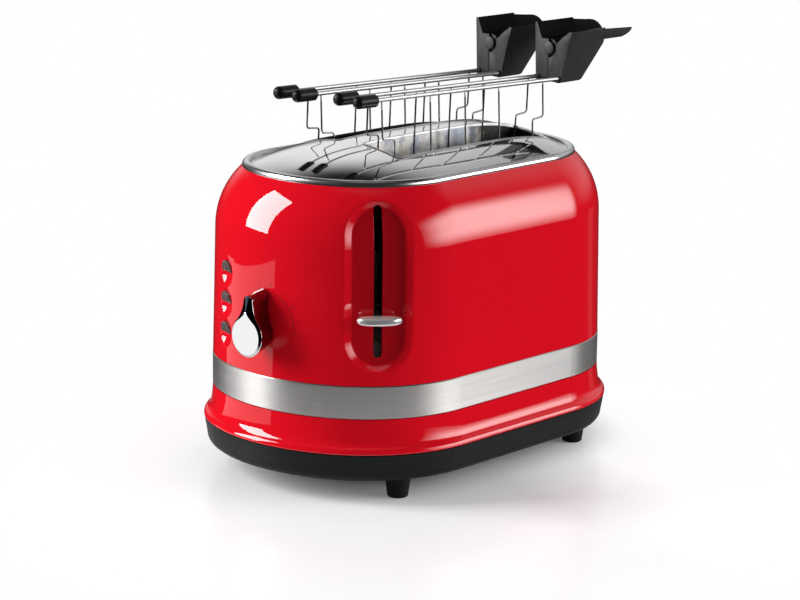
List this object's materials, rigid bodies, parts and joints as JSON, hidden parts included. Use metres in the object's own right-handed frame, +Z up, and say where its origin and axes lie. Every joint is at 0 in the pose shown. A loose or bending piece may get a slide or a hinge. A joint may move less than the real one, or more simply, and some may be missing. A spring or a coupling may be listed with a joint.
{
  "type": "toaster",
  "caption": "Rounded enamelled toaster with a chrome top, a side lever, a dial and keys, and wire sandwich clamps with black grips standing in its slots.",
  "frame": {"origin": "on the floor under the middle of the whole footprint, from the control knob to the longest clamp grip", "axes": "+Z up, +X along the slots from the control end to the clamp grips, -Y is the side with the lever"},
  "size_m": [0.3474, 0.204, 0.2861],
  "materials": {
    "red_paint": "gloss enamel",
    "brushed_trim": "brushed lengthwise",
    "pan_plastic": "satin moulding",
    "foot_rubber": "matt",
    "chrome_plate": "polished",
    "chrome_trim": "polished",
    "plated_sheet": "zinc plated",
    "mica": "mica sheet",
    "resistance_wire": "oxidised ribbon",
    "cage_steel": "bright plated wire",
    "coil_core": "core with wound coil",
    "spring_steel": "spring wire",
    "circuit_board": "lacquered board",
    "black_plastic": "moulded",
    "smoke_plastic": "smoke tinted",
    "clamp_plastic": "satin moulding",
    "cap_rubber": "satin"
  },
  "bodies": {
    "housing": {"body_shell": "red_paint", "trim_band": "brushed_trim", "base_skirt": "red_paint", "base_pan": "pan_plastic", "rubber_feet": "foot_rubber", "top_plate": "chrome_plate", "chassis_floor": "plated_sheet", "chassis_front_plate": "plated_sheet", "chassis_rear_plate": "plated_sheet", "heat_shield_near": "plated_sheet", "heat_shield_far": "plated_sheet", "heating_elements": "mica", "heating_wires": "resistance_wire", "near_slot_guards": "cage_steel", "far_slot_guards": "cage_steel", "guide_rods": "cage_steel", "rod_bracket": "plated_sheet", "latch_magnet": "coil_core", "lift_spring": "spring_steel", "timer_board": "circuit_board", "browning_control": "black_plastic", "switch_board": "circuit_board", "button_switches": "black_plastic", "cord_gland": "black_plastic", "base_screws": "cage_steel"},
    "carriage": {"carriage_block": "black_plastic", "bread_racks": "plated_sheet", "lever_arm": "plated_sheet", "lever_cap": "chrome_trim", "latch_keeper": "plated_sheet"},
    "knob": {"browning_knob": "chrome_trim", "knob_shaft": "cage_steel"},
    "upper_key": {"upper_button": "smoke_plastic"},
    "middle_key": {"middle_button": "smoke_plastic"},
    "lower_key": {"lower_button": "smoke_plastic"},
    "tray": {"crumb_tray": "plated_sheet", "tray_grip": "pan_plastic"},
    "near_clamp": {"near_clamp_pin": "cage_steel", "near_clamp_spring": "spring_steel"},
    "near_clamp_near_jaw": {"near_clamp_near_handle": "clamp_plastic", "near_clamp_near_grid": "cage_steel", "near_clamp_near_cap": "cap_rubber"},
    "near_clamp_far_jaw": {"near_clamp_far_handle": "clamp_plastic", "near_clamp_far_grid": "cage_steel", "near_clamp_far_cap": "cap_rubber"},
    "far_clamp": {"far_clamp_pin": "cage_steel", "far_clamp_spring": "spring_steel"},
    "far_clamp_near_jaw": {"far_clamp_near_handle": "clamp_plastic", "far_clamp_near_grid": "cage_steel", "far_clamp_near_cap": "cap_rubber"},
    "far_clamp_far_jaw": {"far_clamp_far_handle": "clamp_plastic", "far_clamp_far_grid": "cage_steel", "far_clamp_far_cap": "cap_rubber"}
  },
  "joints": [
    {"name": "carriage_lift", "type": "slide", "parent": "housing", "child": "carriage", "axis": [0, 0, 1], "range_m": [0, 0.065], "deforming": ["lift_spring"]},
    {"name": "browning_turn", "type": "hinge", "parent": "housing", "child": "knob", "pos_m": [-0.16225, -0.003, 0.1103], "axis": [1, 0, 0], "range_deg": [-10, 105]},
    {"name": "upper_press", "type": "slide", "parent": "housing", "child": "upper_key", "axis": [0.9367, -0.3502, 0], "range_m": [0, 0.0015], "stiffness_N_per_m": 400, "springref_m": -0.001},
    {"name": "middle_press", "type": "slide", "parent": "housing", "child": "middle_key", "axis": [0.9367, -0.3502, 0], "range_m": [0, 0.0015], "stiffness_N_per_m": 400, "springref_m": -0.001},
    {"name": "lower_press", "type": "slide", "parent": "housing", "child": "lower_key", "axis": [0.9367, -0.3502, 0], "range_m": [0, 0.0015], "stiffness_N_per_m": 400, "springref_m": -0.001},
    {"name": "tray_slide", "type": "slide", "parent": "housing", "child": "tray", "axis": [1, 0, 0], "range_m": [0, 0.17]},
    {"name": "near_clamp_lift", "type": "slide", "parent": "housing", "child": "near_clamp", "axis": [0, 0, 1], "range_m": [0, 0.2]},
    {"name": "near_clamp_open", "type": "hinge", "parent": "near_clamp", "child": "near_clamp_near_jaw", "pos_m": [0.10775, -0.0266, 0.269], "axis": [-1, 0, 0], "range_deg": [0, 3], "stiffness_Nm_per_rad": 0.6, "springref_deg": -20.05},
    {"name": "near_clamp_open_far", "type": "hinge", "parent": "near_clamp", "child": "near_clamp_far_jaw", "pos_m": [0.10775, -0.0266, 0.269], "axis": [1, 0, 0], "range_deg": [0, 3], "stiffness_Nm_per_rad": 0.6, "springref_deg": -20.05},
    {"name": "far_clamp_lift", "type": "slide", "parent": "housing", "child": "far_clamp", "axis": [0, 0, 1], "range_m": [0, 0.2]},
    {"name": "far_clamp_open", "type": "hinge", "parent": "far_clamp", "child": "far_clamp_near_jaw", "pos_m": [0.10705, 0.0266, 0.2674], "axis": [-1, 0, 0], "range_deg": [0, 3], "stiffness_Nm_per_rad": 0.6, "springref_deg": -20.05},
    {"name": "far_clamp_open_far", "type": "hinge", "parent": "far_clamp", "child": "far_clamp_far_jaw", "pos_m": [0.10705, 0.0266, 0.2674], "axis": [1, 0, 0], "range_deg": [0, 3], "stiffness_Nm_per_rad": 0.6, "springref_deg": -20.05}
  ],
  "couplings": [
    {"joint": "near_clamp_open_far", "follows": "near_clamp_open", "ratio": 1},
    {"joint": "far_clamp_open_far", "follows": "far_clamp_open", "ratio": 1}
  ]
}
